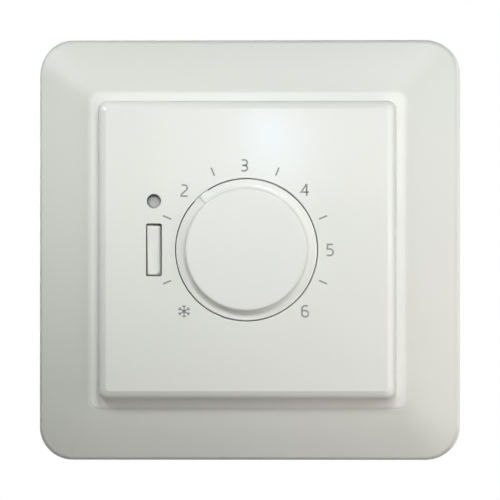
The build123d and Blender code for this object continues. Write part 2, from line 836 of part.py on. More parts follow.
# Relay and capacitors
relay = boxed(relay_spot, relay_size, room_behind_board - relay_back_gap, relay_round)
film_capacitor = boxed(film_spot, film_size, room_behind_board - film_back_gap, film_round)
groove_height = board_back_height - can_groove_rise
can_section = patch(0, can_radius, board_back_height - can_tall, board_back_height)
can_section -= Pos(can_radius, groove_height) * Circle(can_groove_radius)
can_shape = turned(can_section)
can_shape = fillet(rim_edges(can_shape, can_radius, board_back_height - can_tall), can_round)
electrolytic_capacitors = Part()
for spot in can_spots:
    electrolytic_capacitors += Pos(spot[0], 0, spot[1]) * can_shape

# Surge arrester disc on two wires
disc_height = board_back_height - disc_stand - disc_radius
varistor = slice_across(Pos(disc_spot[1], disc_height) * Circle(disc_radius), disc_spot[0], disc_thickness)
varistor = fillet(varistor.edges().filter_by(GeomType.CIRCLE), disc_round)
for offset in (-disc_leg_offset, disc_leg_offset):
    leg_spot = (disc_spot[0], disc_spot[1] + offset)
    varistor += prism(disc(wire_radius, leg_spot), disc_height, board_back_height)


def axial(spot, surface, outward, radius, half, edge_round, stand, lead):
    """Cylinder lying along X off a board surface, on two bent wires."""
    height = surface + outward * (stand + radius)
    across = Pos(spot[1], height)
    body = slice_across(across * Circle(radius), spot[0], 2 * half)
    body = fillet(body.edges().filter_by(GeomType.CIRCLE), edge_round)
    body += slice_across(across * Circle(wire_radius), spot[0], 2 * (half + lead))
    low = min(surface, height)
    high = max(surface, height)
    for turn in (-1, 1):
        end = (spot[0] + turn * (half + lead - wire_radius), spot[1])
        body += prism(disc(wire_radius, end), low, high)
    return body


dropper_resistors = Part()
for spot in resistor_spots:
    dropper_resistors += axial(
        spot,
        board_back_height,
        -1,
        resistor_radius,
        resistor_half,
        resistor_round,
        resistor_stand,
        resistor_lead,
    )
rectifier_diodes = Part()
for place in range(diode_count):
    rectifier_diodes += axial(
        (diode_column, diode_first + place * diode_pitch),
        board_front_height,
        1,
        diode_radius,
        diode_half,
        diode_round,
        diode_stand,
        diode_lead,
    )

# Controller chip with bent legs
chip_low = board_front_height + chip_stand
controller_chip = prism(block_at(chip_spot, chip_size), chip_low, chip_low + chip_tall)
chip_middle = chip_low + chip_tall / 2
chip_reach = chip_size[0] / 2 + chip_leg_reach
for row in range(chip_leg_rows):
    leg_z = chip_spot[1] + (row - (chip_leg_rows - 1) / 2) * chip_leg_pitch
    across = block_at((chip_spot[0], leg_z), (2 * chip_reach, chip_leg_width))
    controller_chip += prism(across, chip_middle, chip_middle + chip_leg_thickness)
    for side in (-1, 1):
        foot = (chip_spot[0] + side * (chip_reach - chip_leg_thickness / 2), leg_z)
        foot_outline = block_at(foot, (chip_leg_thickness, chip_leg_width))
        controller_chip += prism(foot_outline, board_front_height, chip_middle)

# Terminal block with its cage clamps and screws
pole_xs = [(pole - (pole_count - 1) / 2) * pole_pitch for pole in range(pole_count)]
block_outline = patch(-block_half, block_half, block_bottom, block_top)
terminal_block = prism(block_outline, block_back_height, board_back_height)
terminal_clamps = Part()
terminal_screws = Part()
mouth_near_height = board_back_height - mouth_start
mouth_far_height = mouth_near_height - mouth_tall
mouth_end = block_bottom + mouth_depth
pole_screw_z = block_bottom + pole_screw_rise
pole_head_back = block_back_height + pole_head_recess
pole_screw_tip = mouth_far_height + pole_screw_grip
cage_bottom = block_bottom + cage_inset
cage_top = mouth_end - cage_back_gap
cage_near = mouth_near_height - seat_gap
cage_far = mouth_far_height + seat_gap
cage_half = mouth_width / 2 - running_gap
for x in pole_xs:
    mouth = patch(x - mouth_width / 2, x + mouth_width / 2, block_bottom, mouth_end)
    terminal_block -= prism(mouth, mouth_far_height, mouth_near_height)
    head_hole = disc(pole_head_radius + close_gap, (x, pole_screw_z))
    terminal_block -= prism(head_hole, block_back_height, mouth_far_height)
    cage = prism(patch(x - cage_half, x + cage_half, cage_bottom, cage_top), cage_far, cage_near)
    cage_room = patch(x - cage_half + cage_wall, x + cage_half - cage_wall, cage_bottom, cage_top)
    cage -= prism(cage_room, cage_far + cage_wall, cage_near - cage_wall)
    shank_hole = disc(pole_screw_radius + running_gap, (x, pole_screw_z))
    terminal_clamps += cage - prism(shank_hole, cage_far, cage_far + cage_wall)
    pole_screw = prism(disc(pole_screw_radius, (x, pole_screw_z)), pole_head_back, pole_screw_tip)
    pole_head_outline = disc(pole_head_radius, (x, pole_screw_z))
    pole_screw += prism(pole_head_outline, pole_head_back, pole_head_back + pole_head)
    slot = block_at((x, pole_screw_z), (pole_slot_width, 4 * pole_head_radius))
    terminal_screws += pole_screw - prism(slot, pole_head_back, pole_head_back + pole_slot_depth)

nodes = {
    "outer_frame": outer_frame,
    "front_cover": front_cover,
    "knob": knob,
    "max_limit_ring": max_limit_ring,
    "min_limit_ring": min_limit_ring,
    "cover_screw": cover_screw,
    "rocker_button": rocker_button,
    "plunger": plunger,
    "plunger_spring": plunger_spring,
    "contact_lever": contact_lever,
    "lever_support": lever_support,
    "fixed_contact": fixed_contact,
    "switch_housing": switch_housing,
    "light_guide": light_guide,
    "status_lamp": status_lamp,
    "inner_cover": inner_cover,
    "inner_cover_screws": inner_cover_screws,
    "base_housing": base_housing,
    "circuit_board": circuit_board,
    "potentiometer_base": potentiometer_base,
    "potentiometer_housing": potentiometer_housing,
    "potentiometer_rotor": potentiometer_rotor,
    "potentiometer_wiper": potentiometer_wiper,
    "relay": relay,
    "film_capacitor": film_capacitor,
    "electrolytic_capacitors": electrolytic_capacitors,
    "varistor": varistor,
    "dropper_resistors": dropper_resistors,
    "rectifier_diodes": rectifier_diodes,
    "controller_chip": controller_chip,
    "terminal_block": terminal_block,
    "terminal_clamps": terminal_clamps,
    "terminal_screws": terminal_screws,
}
os.makedirs("parts", exist_ok=True)
for name, shape in nodes.items():
    export_step(shape, f"parts/{name}.step")
    box = shape.bounding_box()
    print(f"{name}: {len(shape.solids())} solids, {shape.volume:.1f} mm3, {box.size}")
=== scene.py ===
# %% [markdown]
# # A wall thermostat in white plastic
# The object is a flush wall thermostat: a square frame, a cover with a dial knob, a small rocker switch and a
# lamp, and behind the wall plane a housing with its terminals. The packed CAD model brings every solid piece,
# already in metres and in place. This lesson adds what the solids lack: finishes, the printed dial, the wound
# spring inside the switch, and a small studio with a camera.

# %% Load the packed model
import json
import math

import bpy
import numpy as np
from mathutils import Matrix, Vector


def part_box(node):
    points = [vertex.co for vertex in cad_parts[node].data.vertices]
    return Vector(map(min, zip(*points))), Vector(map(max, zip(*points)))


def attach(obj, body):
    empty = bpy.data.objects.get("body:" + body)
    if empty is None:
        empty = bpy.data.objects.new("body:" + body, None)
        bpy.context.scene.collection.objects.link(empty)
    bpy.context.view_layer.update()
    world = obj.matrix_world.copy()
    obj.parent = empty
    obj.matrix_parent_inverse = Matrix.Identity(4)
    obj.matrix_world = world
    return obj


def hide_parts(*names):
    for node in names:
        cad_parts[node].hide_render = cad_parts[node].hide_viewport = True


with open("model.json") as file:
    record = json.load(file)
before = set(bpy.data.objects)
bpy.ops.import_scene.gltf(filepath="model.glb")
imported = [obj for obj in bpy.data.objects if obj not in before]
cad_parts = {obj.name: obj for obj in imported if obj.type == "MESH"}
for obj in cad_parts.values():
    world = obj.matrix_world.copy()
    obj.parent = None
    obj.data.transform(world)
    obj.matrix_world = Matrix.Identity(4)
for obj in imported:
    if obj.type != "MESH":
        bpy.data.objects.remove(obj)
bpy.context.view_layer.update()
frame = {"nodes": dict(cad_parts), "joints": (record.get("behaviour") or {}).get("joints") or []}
nodes = frame["nodes"]

# %% [markdown]
# ## The camera
# The photograph is nearly a front view. The cover stands in front of the frame's ledge, and it is shifted to the
# left and a hair up against it, so the camera stood a little to the right and slightly below. The frame's top and
# bottom edges are level and equally long, so the lens was long: two and a half metres away keeps them so. The
# frame's width in pixels gives the field of view, because the sensor width over the lens is the field over the
# distance. An orthographic camera would lose the small difference in scale between cover and wall.

# %% Camera at the photograph's viewing angle
mm = 0.001
frame_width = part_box("outer_frame")[1].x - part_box("outer_frame")[0].x
image_pixels = 500
frame_pixels = 419.2
camera_distance = 2.5
camera_right = math.radians(3.9)
camera_up = math.radians(-0.4)
camera_target = np.array([0.11, -4.0, 0.02]) * mm

camera = bpy.data.objects.new("camera", bpy.data.cameras.new("camera"))
bpy.context.scene.collection.objects.link(camera)
bpy.context.scene.camera = camera
away = np.array(
    [
        math.sin(camera_right) * math.cos(camera_up),
        -math.cos(camera_right) * math.cos(camera_up),
        math.sin(camera_up),
    ]
)
camera.location = camera_target + camera_distance * away
camera.rotation_mode = "QUATERNION"
camera.rotation_quaternion = Vector(away).to_track_quat("Z", "Y")
field = frame_width * image_pixels / frame_pixels
camera.data.sensor_width = 36.0
camera.data.lens = camera.data.sensor_width * camera_distance / field
camera.data.clip_start = 0.01
print("lens in mm:", round(camera.data.lens, 1), "field in mm:", round(field / mm, 2))

# %% [markdown]
# ## Shader sums written as Python
# A finish is a formula over the surface: a colour that drifts a little, a roughness that varies, a grain that
# lifts the surface. Drawing each formula as boxes and wires takes pages, so three small classes do it. `Wire` wraps
# a socket, and an operator on it adds one Math node. `Tree` adds any other node from its type, its settings and its
# inputs, and `Finish` is the tree of one material, with the few recipes that every finish here needs.

# %% A socket that can be added and multiplied
class Wire:
    """A value in a node tree. Sums, products and powers of wires and numbers add Math nodes."""

    def __init__(self, tree, socket):
        self.tree = tree
        self.socket = socket

    def combine(self, operation, first, second):
        node = self.tree.nodes.new("ShaderNodeMath")
        node.operation = operation
        for place, value in enumerate((first, second)):
            if isinstance(value, Wire):
                self.tree.links.new(value.socket, node.inputs[place])
            else:
                node.inputs[place].default_value = value
        return Wire(self.tree, node.outputs[0])

    def __add__(self, other):
        return self.combine("ADD", self, other)

    def __radd__(self, other):
        return self.combine("ADD", other, self)

    def __sub__(self, other):
        return self.combine("SUBTRACT", self, other)

    def __rsub__(self, other):
        return self.combine("SUBTRACT", other, self)

    def __mul__(self, other):
        return self.combine("MULTIPLY", self, other)

    def __rmul__(self, other):
        return self.combine("MULTIPLY", other, self)

    def __pow__(self, other):
        return self.combine("POWER", self, other)

    def at_least(self, floor):
        return self.combine("MAXIMUM", self, floor)

    def share(self):
        """The value kept between nothing and one."""
        return self.combine("MINIMUM", self.at_least(0.0), 1.0)


print("methods of a wire:", [name for name in vars(Wire) if callable(vars(Wire)[name])])

# %% A node tree with one method for every node
class Tree:
    """A node tree. node() adds any node from its type, its settings, which come first, and its inputs, and gives one
    of its outputs as a wire. feed() links a wire to a socket or writes a plain value into it."""

    def __init__(self, tree):
        self.tree = tree

    def node(self, kind, settings=None, inputs=None, output=0):
        made = self.tree.nodes.new(kind)
        for key, value in (settings or {}).items():
            setattr(made, key, value)
        for key, value in (inputs or {}).items():
            self.feed(made.inputs[key], value)
        return Wire(self.tree, made.outputs[output])

    def feed(self, socket, value):
        if isinstance(value, Wire):
            self.tree.links.new(value.socket, socket)
        else:
            socket.default_value = value


def colour(red, green, blue):
    """Colour as written in a picture, from 0 to 255, as the linear values that a shader takes."""
    written = np.array([red, green, blue]) / 255.0
    linear = np.where(written <= 0.04045, written / 12.92, ((written + 0.055) / 1.055) ** 2.4)
    return (*linear.tolist(), 1.0)


print("white of the cover as linear light:", [round(v, 3) for v in colour(239, 240, 235)])

# %% A material that is built from wires
class Finish(Tree):
    """One material. surface() feeds the shader's own sockets, and dress() puts the material on CAD nodes."""

    def __init__(self, name):
        self.material = bpy.data.materials.new(name)
        self.material.use_nodes = True
        super().__init__(self.material.node_tree)
        self.shader = self.tree.nodes["Principled BSDF"]
        self.place = self.node("ShaderNodeTexCoord", output="Object")

    def along(self, axis):
        """Distance from the dial's axis point along X, Y or Z, in millimetres."""
        return self.node("ShaderNodeSeparateXYZ", {}, {"Vector": self.place}, axis) * (1 / mm)

    def noise(self, per_mm, detail=2.0, stretch=(1.0, 1.0, 1.0)):
        """Noise between 0 and 1 with about per_mm swings in a millimetre, drawn out along an axis by its stretch."""
        spread = self.node("ShaderNodeMapping", {}, {"Vector": self.place, "Scale": stretch}, "Vector")
        return self.node("ShaderNodeTexNoise", {}, {"Vector": spread, "Scale": per_mm / mm, "Detail": detail}, "Fac")

    def outside(self, centre, halves, corner):
        """Distance in millimetres to a rectangle with round corners, seen from the front, negative inside it: what is
        left of the offsets from its centre beyond the corners' own centres, taken as one length, less the radius."""
        across = ((self.along("X") - centre[0]) ** 2.0) ** 0.5 - (halves[0] - corner)
        upward = ((self.along("Z") - centre[1]) ** 2.0) ** 0.5 - (halves[1] - corner)
        return (across.at_least(0.0) ** 2.0 + upward.at_least(0.0) ** 2.0) ** 0.5 - corner

    def between(self, share, first, second):
        """Colour between two colours."""
        return self.node("ShaderNodeMix", {"data_type": "RGBA"}, {0: share, 6: first, 7: second}, 2)

    def bumped(self, height, depth, strength=1.0):
        """Normal of a surface lifted by height times depth, in metres."""
        return self.node("ShaderNodeBump", {}, {"Height": height, "Distance": depth, "Strength": strength}, "Normal")

    def surface(self, **inputs):
        for key, value in inputs.items():
            self.feed(self.shader.inputs[key.replace("_", " ")], value)

    def dress(self, *names):
        """Puts the finish on CAD nodes, in place of the flat colour that came with them."""
        for name in names:
            slots = nodes[name].data.materials
            slots.clear()
            slots.append(self.material)


print("methods of a finish:", [name for name in vars(Finish) if not name.startswith("_")])

# %% [markdown]
# ## White moulded plastic
# Cover, knob and rocker are injection moulded and polished, so they have a clear gloss, but no moulding is
# perfectly flat: the skin has a faint waviness, a much finer grain, and the white drifts by a percent. A flat
# colour would look like paper. Noise on Object coordinates gives all three at their real scale, and only colour,
# roughness and bump vary, which an export can bake. Grey along the cover's edge, next to the ledge, is painted shade.

# %% Polished white
# Grey of the painted shade that the white finishes below mix into their colour.
painted_shade_grey = colour(120, 120, 118)
wave_height, speck_height = 0.006, 0.0001


def white_plastic(name, light, dark, gloss, shade_formula):
    """Gloss white: colour drifts between two whites over centimetres, with a wavy skin and a fine grain. The last
    argument is a formula that gives the share of grey, painted shade, in the colour."""
    finish = Finish(name)
    drift = finish.noise(0.04)
    speck = finish.noise(3.0)
    wave = finish.noise(0.1, detail=1.0)
    own_white = finish.between(drift * 0.8 + speck * 0.2, light, dark)
    finish.surface(
        Base_Color=finish.between(shade_formula(finish), own_white, painted_shade_grey),
        Roughness=gloss + 0.05 * wave + 0.04 * speck,
        Normal=finish.bumped(wave_height * wave + speck_height * speck, mm),
    )
    return finish


print("heights of wave and speck in mm:", wave_height, speck_height)

# %% Cover finish
cover_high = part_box("front_cover")[1]
cover_halves = cover_high.x / mm, cover_high.z / mm
# Painted shade along the cover's outline: the corner, the width over which it grows, and its share of grey.
cover_corner, edge_width, edge_shade_share = 2.0, 1.3, 0.1


def cover_edge_shade(finish):
    """Painted shade next to the ledge. Grows over the cover's curved edge towards its outline, as the square of
    the way across the edge.
    """
    inward = finish.outside((0.0, 0.0), cover_halves, cover_corner) * (1 / edge_width)
    return edge_shade_share * (inward + 1.0).share() ** 2.0


cover_tones = colour(239, 240, 235), colour(235, 236, 230)
cover_gloss = 0.05
white_plastic("cover_white", *cover_tones, cover_gloss, cover_edge_shade).dress("front_cover")
print("cover's half width and half height in mm:", [round(half, 2) for half in cover_halves])

# %% [markdown]
# ## Knob and rocker
# A little grey is painted round the foot of the knob's crown and along the rocker's lower and right rim, as
# painted shade. The knob turns, so its grey is a formula of the distance from the dial's axis
# and stays round at every setting. The rocker's grey starts outside a rectangle a little smaller than the rocker,
# which is moved up and to the left, so that it leaves the top and left rims without grey.

# %% Knob and rocker finishes
# Painted shade round the crown's foot: its radius, its half width and its strongest share of grey.
crown_foot, foot_width, foot_shade_share = 12.05, 0.75, 0.09
rocker_low, rocker_high = (np.array(corner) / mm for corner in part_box("rocker_button"))
rocker_spot = (rocker_low[[0, 2]] + rocker_high[[0, 2]]) / 2
# Painted shade on the rocker's lower and right rim starts outside this rectangle, moved up and to the left.
unshaded_shift, unshaded_halves, unshaded_corner = np.array([-0.4, 0.35]), (1.12, 4.7), 0.5
rim_start, rim_growth, rim_shade_share = 0.1, 2.2, 0.85


def crown_foot_shade(finish):
    """Painted shade round the crown: a triangle over the distance from the dial's axis, highest at the crown's foot."""
    reach = (finish.along("X") ** 2.0 + finish.along("Z") ** 2.0) ** 0.5
    aside = ((reach - crown_foot) ** 2.0) ** 0.5
    return foot_shade_share * (1.0 - aside * (1 / foot_width)).share()


def rocker_rim_shade(finish):
    """Painted shade on the lower and right rim: grows with the distance from the unshaded rectangle, over about half a
    millimetre.
    """
    beyond = finish.outside(rocker_spot + unshaded_shift, unshaded_halves, unshaded_corner)
    return rim_shade_share * ((beyond - rim_start) * rim_growth).share()


knob_tones = colour(242, 243, 239), colour(238, 239, 234)
rocker_tones = colour(245, 245, 241), colour(241, 241, 236)
knob_gloss, rocker_gloss = 0.14, 0.3
white_plastic("knob_white", *knob_tones, knob_gloss, crown_foot_shade).dress("knob")
white_plastic("rocker_white", *rocker_tones, rocker_gloss, rocker_rim_shade).dress("rocker_button")
print("rocker in mm, from", rocker_low.round(2), "to", rocker_high.round(2))

# %% [markdown]
# ## The frame: satin band, polished ledge
# On the frame only the ledge round the cover is polished. The broad sloping band has a satin skin, and its colour is
# painted a shade greyer than the ledge, as painted shade for the slope. It is one moulding, so one material carries
# both, and a mask tells them apart: the distance to a square with round corners, which is the ledge's outline. Two
# materials would need the faces sorted by hand.

# %% Frame finish
ledge_half, ledge_corner, blend_width = 30.6, 1.6, 0.9
ledge_gloss, band_matt, grain_depth = 0.12, 0.26, 0.004
frame_white = Finish("frame_white")
band = (frame_white.outside((0.0, 0.0), (ledge_half, ledge_half), ledge_corner) * (1 / blend_width)).share()
drift = frame_white.noise(0.04)
grain = frame_white.noise(5.0)
ledge_tone = frame_white.between(drift, colour(244, 245, 240), colour(240, 241, 235))
# The band's greyer colour is painted shade for the sloping band; the ledge keeps the lighter white.
band_shaded_tone = frame_white.between(drift * 0.8 + grain * 0.2, colour(223, 224, 218), colour(218, 219, 212))
frame_white.surface(
    Base_Color=frame_white.between(band, ledge_tone, band_shaded_tone),
    Roughness=ledge_gloss + band_matt * band + 0.05 * grain,
    Normal=frame_white.bumped(grain * (0.1 + 0.9 * band), grain_depth * mm, 0.5),
)
frame_white.dress("outer_frame")
print("ledge is", 2 * ledge_half, "mm wide, its edge blends over", blend_width, "mm")

# %% [markdown]
# ## The pieces inside and behind
# The rest is ordinary device hardware: matt mouldings, a laminate board, stamped brass, plated screws, dipped and
# moulded components. Two recipes cover them. A moulding has a sand-like grain from its spark eroded mould, and
# metal has a fine drawn or rolled streak with a roughness that follows the streak.

# %% Mouldings
def moulding(name, light, dark, roughness, grain_per_mm=4.0, depth=0.02):
    """Matt plastic: two close tones mixed by noise, with a sand-like grain. depth is the grain's in millimetres."""
    finish = Finish(name)
    drift = finish.noise(0.15, 3.0)
    grain = finish.noise(grain_per_mm, 3.0)
    finish.surface(
        Base_Color=finish.between(drift * 0.6 + grain * 0.4, light, dark),
        Roughness=roughness + 0.12 * grain,
        Normal=finish.bumped(grain, depth * mm, 0.6),
    )
    return finish


moulding("housing_grey", colour(206, 208, 205), colour(196, 198, 195), 0.5).dress("base_housing")
moulding("inner_grey", colour(208, 209, 206), colour(199, 200, 197), 0.5).dress("inner_cover")
moulding("terminal_grey", colour(92, 95, 97), colour(80, 83, 85), 0.5).dress("terminal_block")
moulding("switch_black", colour(58, 58, 60), colour(46, 46, 48), 0.45).dress("switch_housing")
moulding("rotor_black", colour(66, 66, 68), colour(54, 54, 56), 0.5).dress("potentiometer_rotor")
moulding("plunger_natural", colour(222, 216, 200), colour(212, 205, 188), 0.4).dress("plunger")
moulding("ring_red", colour(196, 52, 44), colour(182, 42, 36), 0.45).dress("max_limit_ring")
moulding("ring_blue", colour(46, 92, 176), colour(38, 80, 160), 0.45).dress("min_limit_ring")
moulding("phenolic_brown", colour(150, 104, 62), colour(128, 84, 46), 0.6).dress("potentiometer_base")
moulding("relay_black", colour(44, 45, 48), colour(36, 37, 40), 0.35, 3.0).dress("relay")
moulding("film_yellow", colour(222, 190, 62), colour(206, 172, 46), 0.3, 3.0).dress("film_capacitor")
moulding("varistor_blue", colour(52, 92, 160), colour(42, 78, 142), 0.25, 1.2, 0.04).dress("varistor")
moulding("resistor_grey", colour(150, 160, 166), colour(132, 142, 150), 0.6, 3.0, 0.03).dress("dropper_resistors")
moulding("diode_black", colour(40, 40, 42), colour(32, 32, 34), 0.4).dress("rectifier_diodes")
moulding("chip_black", colour(42, 42, 44), colour(35, 35, 37), 0.5).dress("controller_chip")
moulding("board_green", colour(52, 110, 68), colour(40, 92, 56), 0.4, 1.0).dress("circuit_board")
moulding("lamp_red", colour(190, 70, 58), colour(172, 56, 46), 0.2, 2.0, 0.01).dress("status_lamp")
print("materials after the mouldings:", len(bpy.data.materials))

# %% Metals
def metal(name, light, dark, roughness, stretch):
    """Bare metal: streaks of two tones, drawn out along one axis."""
    finish = Finish(name)
    streak = finish.noise(1.5, 3.0, stretch)
    blotch = finish.noise(0.4)
    finish.surface(
        Base_Color=finish.between(streak * 0.5 + blotch * 0.5, light, dark),
        Metallic=1.0,
        Roughness=roughness + 0.18 * streak,
        Normal=finish.bumped(streak, 0.01 * mm, 0.4),
    )
    return finish


zinc = metal("screw_zinc", colour(214, 215, 216), colour(188, 190, 194), 0.25, (1.0, 1.0, 1.0))
zinc.dress("cover_screw", "inner_cover_screws", "terminal_screws")
brass = metal("contact_brass", colour(226, 196, 128), colour(204, 168, 98), 0.28, (1.0, 0.2, 1.0))
brass.dress("contact_lever", "lever_support", "fixed_contact", "potentiometer_wiper")
clamp = metal("clamp_brass", colour(214, 184, 124), colour(186, 154, 98), 0.34, (0.2, 1.0, 1.0))
clamp.dress("terminal_clamps")
tin = metal("pot_tin", colour(206, 206, 204), colour(182, 182, 180), 0.32, (0.2, 1.0, 1.0))
tin.dress("potentiometer_housing")
can = metal("can_aluminium", colour(214, 215, 217), colour(192, 193, 196), 0.3, (1.0, 0.15, 1.0))
can.dress("electrolytic_capacitors")
steel = metal("spring_steel", colour(200, 200, 202), colour(170, 171, 175), 0.25, (1.0, 0.2, 1.0))
print("materials after the metals:", len(bpy.data.materials))

# %% [markdown]
# ## The light guide
# The lamp shows through the smoked end of a clear rod, set back in its hole. Off, it is grey, and daylight that
# enters at the top of the rod gathers at its lower side, so the spot is dark above and pale below. Real glass
# would need many samples for so small a spot. A colour that runs from dark to pale over the rod's height, with a
# smooth gloss, gives the same look from every side.

# %% Smoked light guide
guide_low, guide_high = (corner.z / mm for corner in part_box("light_guide"))
guide_middle = (guide_low + guide_high) / 2
guide_radius = 1.35
pale_share, cloud_share = 0.42, 0.16
smoke = Finish("guide_smoke")
cloud = smoke.noise(1.5)
# Painted light: the rod's colour runs from dark above to pale below, for the daylight gathered at its lower side.
below = ((guide_middle - smoke.along("Z")) * (0.5 / guide_radius) + pale_share + cloud_share * cloud).share()
smoke.surface(
    Base_Color=smoke.between(below, colour(136, 137, 136), colour(203, 204, 200)),
    Roughness=0.12 + 0.1 * cloud,
)
smoke.dress("light_guide")
print("guide's middle is", round(guide_middle, 2), "mm above the dial's axis")

# %% [markdown]
# ## The printed dial
# Five numerals, six ticks and a frost sign are printed in grey round the knob. Print could be a texture, but a
# texture needs an image, and a formula for a numeral is awkward in a shader. So each sign is a pen stroke: a path
# of lines and arcs in millimetres, carried as a thin flat ribbon with a width and a hair of thickness, lying on
# the cover's face. All points of a path come from numpy at once.

# %% Pen strokes
def line(*corners):
    """Straight runs through the corners."""
    return np.array(corners, float)


def bow(centre, radius, start, end, points=14):
    """Arc about a centre from one angle to another, in degrees counter-clockwise from the right."""
    turn = np.radians(np.linspace(start, end, points))
    return np.array(centre, float) + radius * np.stack([np.cos(turn), np.sin(turn)], axis=1)


print("points of a quarter bow:", len(bow((0.0, 0.0), 1.0, 0, 90)))

# %% A ribbon along a stroke
def ribbon(path, width, low, high):
    """Closed flat ribbon along a path: each point is moved half the width to both sides along the mitre of its two
    runs, at two heights, and the two ends are capped. Gives points and faces."""
    run = np.diff(path, axis=0)
    run = run / np.linalg.norm(run, axis=1, keepdims=True)
    side = np.stack([-run[:, 1], run[:, 0]], axis=1)
    before = np.vstack([side[:1], side])
    after = np.vstack([side, side[-1:]])
    mitre = before + after
    mitre = mitre / np.maximum(np.sum(mitre * before, axis=1, keepdims=True), 0.5)
    left = path + mitre * width / 2
    right = path - mitre * width / 2
    count = len(path)
    ring = np.stack([left, right, right, left], axis=1)
    heights = np.broadcast_to(np.array([low, low, high, high]), (count, 4))
    points = np.stack([ring[..., 0], -heights, ring[..., 1]], axis=2).reshape(-1, 3)
    start = np.arange(count - 1)[:, None] * 4
    step = np.arange(4)[None, :]
    follow = (step + 1) % 4
    faces = np.stack([start + step, start + 4 + step, start + 4 + follow, start + follow], axis=2).reshape(-1, 4)
    caps = np.array([[0, 1, 2, 3], [3, 2, 1, 0]]) + np.array([[0], [(count - 1) * 4]])
    return points, np.vstack([faces, caps])


def enclosed(points, faces):
    """Volume inside closed quads: each half quad and the origin span a pyramid, and the signed pyramids add up. It
    is positive where the faces point outwards."""
    a, b, c, d = (points[faces[:, k]] for k in range(4))
    return float(np.sum(a * np.cross(b, c)) + np.sum(a * np.cross(c, d))) / 6


print("a ribbon of 2 by 0.5 by 1 encloses", enclosed(*ribbon(line((0, 0), (1, 0), (2, 0)), 0.5, 0.0, 1.0)))

# %% Numerals
pen_width = 0.32
tall = 1.08
numerals = {
    2: [
        np.vstack(
            [
                line((-0.52, tall), (0.0, tall)),
                bow((0.02, 0.52), 0.56, 88, -38),
                line((-0.44, -0.6), (-0.6, -0.86), (-0.6, -tall), (0.66, -tall)),
            ]
        )
    ],
    3: [
        np.vstack([line((-0.52, tall), (0.0, tall)), bow((0.02, 0.55), 0.53, 88, -90), line((-0.46, 0.02))]),
        np.vstack([line((-0.1, 0.02)), bow((0.02, -0.53), 0.55, 88, -90), line((-0.25, -tall), (-0.6, -0.94))]),
    ],
    4: [
        line((0.36, -tall), (0.36, tall), (0.26, tall), (-0.72, -0.36), (0.78, -0.36)),
    ],
    5: [
        np.vstack(
            [
                line((0.55, tall), (-0.45, tall), (-0.5, 0.2), (-0.2, 0.2)),
                bow((-0.02, -0.44), 0.64, 85, -85),
                line((-0.2, -tall), (-0.62, -1.0)),
            ]
        )
    ],
    6: [
        np.vstack(
            [
                line((0.5, tall), (0.1, tall)),
                bow((0.02, 0.44), 0.64, 95, 180, 9),
                bow((0.02, -0.44), 0.64, 180, 360),
                bow((0.02, -0.5), 0.64, 0, 88, 9),
                line((-0.58, 0.14)),
            ]
        )
    ],
}
print("strokes of each numeral:", {number: len(paths) for number, paths in numerals.items()})

# %% Frost sign
def frost_arm(turn):
    """One arm of the frost sign: a short stem and a barb to each side, turned about the sign's middle. Each is a path
    with its pen's width."""
    stem = np.array([[0.0, 0.2], [0.0, 1.0]])
    barbs = np.array([[-0.28, 1.12], [0.0, 0.84], [0.28, 1.12]])
    swing = np.array([[math.cos(turn), -math.sin(turn)], [math.sin(turn), math.cos(turn)]])
    return [(stem @ swing.T, 0.2), (barbs @ swing.T, 0.26)]


frost_paths = [stroke for arm in range(6) for stroke in frost_arm(math.radians(60 * arm))]
frost_paths.append((bow((0.0, 0.0), 0.17, 0, 360, 13), 0.3))
print("strokes of the frost sign:", len(frost_paths))

# %% Places on the dial
cover_face = -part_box("front_cover")[0].y / mm
ink_low, ink_high = cover_face - 0.005, cover_face + 0.012
spots = {2: (-12.15, 11.55), 3: (-0.4, 16.45), 4: (11.4, 11.6), 5: (16.3, -0.05), 6: (11.45, -12.0)}
frost_spot = np.array([-12.2, -12.0])
tick_inner, tick_outer, tick_width = 15.65, 17.35, 0.32
tick_middle = np.array([-0.28, 0.0])
tick_angles = (22.5, 67.5, 112.5, -22.5, -67.5, -112.5)

dial_shapes = []
for number, spot in spots.items():
    dial_shapes += [ribbon(path + np.array(spot), pen_width, ink_low, ink_high) for path in numerals[number]]
dial_shapes += [ribbon(path + frost_spot, width, ink_low, ink_high) for path, width in frost_paths]
for angle in np.radians(tick_angles):
    ray = np.array([math.sin(angle), math.cos(angle)])
    dial_shapes.append(ribbon(tick_middle + np.outer([tick_inner, tick_outer], ray), tick_width, ink_low, ink_high))
print("least volume of a stroke in mm3:", round(min(enclosed(*shape) for shape in dial_shapes), 5))

# %% Print on the cover
def mesh_piece(name, shapes, finish, smooth=False):
    """One mesh object from several point and face sets, sitting at the origin with its place in its mesh."""
    offset = np.cumsum([0] + [len(points) for points, _ in shapes[:-1]])
    points = np.vstack([points for points, _ in shapes])
    faces = np.vstack([faces + shift for (_, faces), shift in zip(shapes, offset)])
    mesh = bpy.data.meshes.new(name)
    mesh.from_pydata((points * mm).tolist(), [], faces.tolist())
    mesh.polygons.foreach_set("use_smooth", np.full(len(faces), smooth))
    mesh.materials.append(finish.material)
    mesh.update()
    piece = bpy.data.objects.new(name, mesh)
    bpy.context.scene.collection.objects.link(piece)
    print(name, "shapes:", len(shapes), "faces:", len(faces))
    return piece


ink = Finish("dial_ink")
patchy = ink.noise(6.0, detail=3.0)
ink.surface(
    Base_Color=ink.between(patchy, colour(138, 140, 140), colour(156, 158, 157)),
    Roughness=0.4 + 0.2 * patchy,
)
dial_print = mesh_piece("dial_print", dial_shapes, ink)
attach(dial_print, "base")

# %% [markdown]
# ## The wound spring of the switch
# Under the rocker a small coil spring pushes the plunger. The CAD solid is a plain sleeve with the coil's inner
# and outer size, so here a round wire is carried along a helix and takes the sleeve's place. It could be a curve
# with a bevel, but the two-parameter formula is as short: one angle runs along the helix, the other round the wire.

